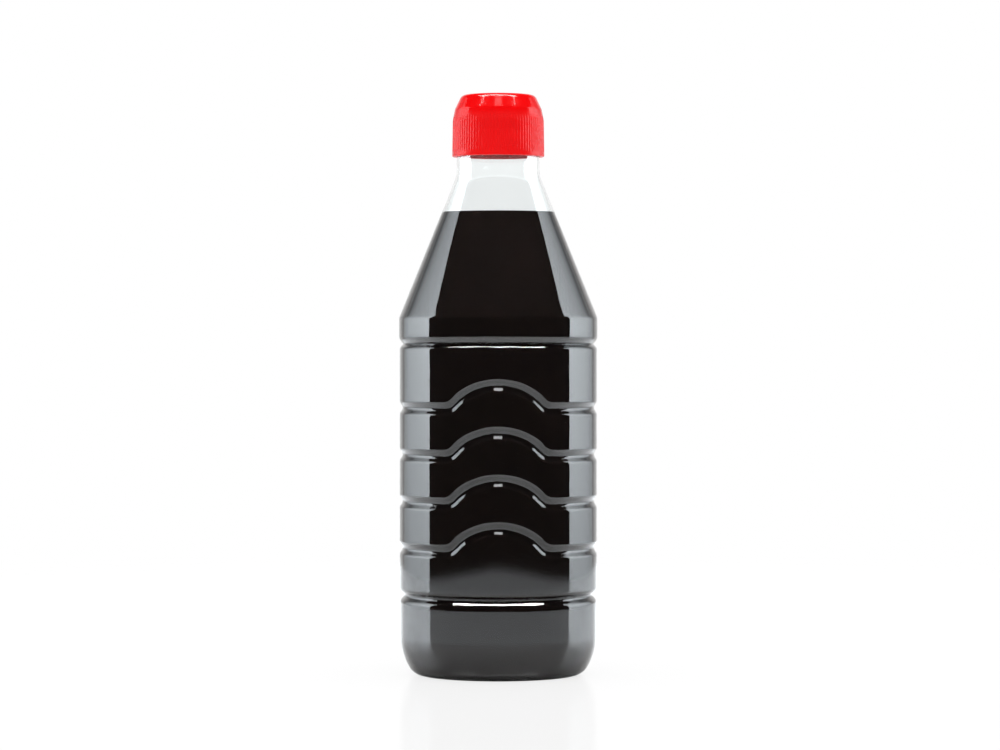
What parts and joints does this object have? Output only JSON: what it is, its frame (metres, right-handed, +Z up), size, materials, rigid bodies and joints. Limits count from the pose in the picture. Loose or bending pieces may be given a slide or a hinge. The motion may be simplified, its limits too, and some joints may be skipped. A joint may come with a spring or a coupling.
{
  "type": "pomegranate molasses bottle",
  "caption": "Clear ribbed bottle with a long conical shoulder, arched grooves, a red screw cap and a near-black syrup filling",
  "frame": {"origin": "centre of the ring that the bottle stands on, at the lowest point", "axes": "+Z up along the bottle's axis; -Y faces the front, where one set of arches is; the other set faces +Y"},
  "size_m": [0.0688, 0.0688, 0.2012],
  "materials": {
    "clear_pet": "clear blow-moulded PET, glossy",
    "molasses": "near-black syrup, glossy",
    "red_cap": "red polypropylene, semi-gloss"
  },
  "bodies": {
    "root": {"bottle": "clear_pet", "molasses": "molasses", "cap": "red_cap"}
  },
  "joints": []
}
